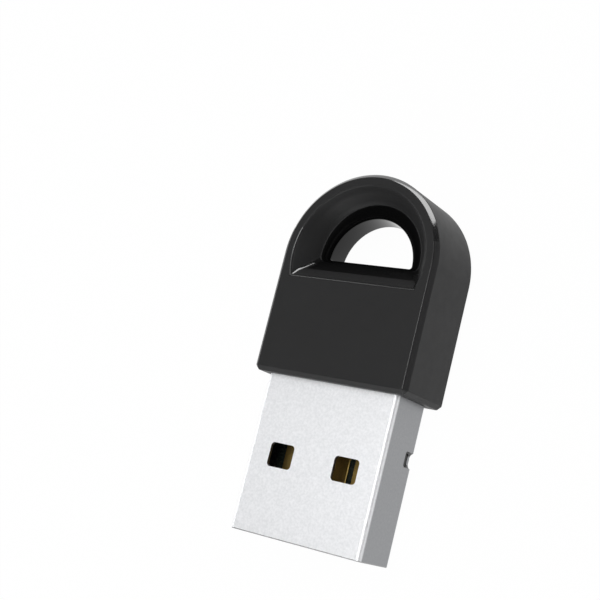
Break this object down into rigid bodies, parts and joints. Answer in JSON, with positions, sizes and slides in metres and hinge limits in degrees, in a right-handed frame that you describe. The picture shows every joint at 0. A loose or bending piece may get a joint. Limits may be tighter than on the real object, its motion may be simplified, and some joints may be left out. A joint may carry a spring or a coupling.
{
  "type": "usb bluetooth adapter",
  "caption": "Thumbnail sized adapter: a flat metal plug with windows on a black moulded housing that ends in a strap loop.",
  "frame": {"origin": "middle of the footprint, on the plane of the housing's back face", "axes": "+Y from the plug's end to the top of the strap loop, +Z out of the face with the contacts, X across the width"},
  "size_m": [0.014, 0.0294, 0.0064],
  "materials": {
    "black_plastic": "fine satin moulding, polished inside the strap hole",
    "carrier_plastic": "matte",
    "shell_steel": "bright, finely frosted sheet",
    "board": "dark green solder mask",
    "gold_plating": "gold plated",
    "chip_plastic": "matte",
    "can_metal": "satin",
    "white_ceramic": "unglazed",
    "tan_ceramic": "unglazed",
    "ferrite": "unglazed"
  },
  "bodies": {
    "root": {"housing": "black_plastic", "plug_shell": "shell_steel", "contact_carrier": "carrier_plastic", "circuit_board": "board", "power_contact": "gold_plating", "data_minus_contact": "gold_plating", "data_plus_contact": "gold_plating", "ground_contact": "gold_plating", "radio_chip": "chip_plastic", "memory_chip": "chip_plastic", "crystal": "can_metal", "antenna": "white_ceramic", "rf_filter": "white_ceramic", "ferrite_bead": "ferrite", "bulk_capacitor": "tan_ceramic", "capacitor_1": "tan_ceramic", "capacitor_2": "tan_ceramic", "capacitor_3": "tan_ceramic", "capacitor_4": "tan_ceramic", "capacitor_5": "tan_ceramic", "resistor_1": "chip_plastic", "resistor_2": "chip_plastic", "resistor_3": "chip_plastic"}
  },
  "joints": []
}
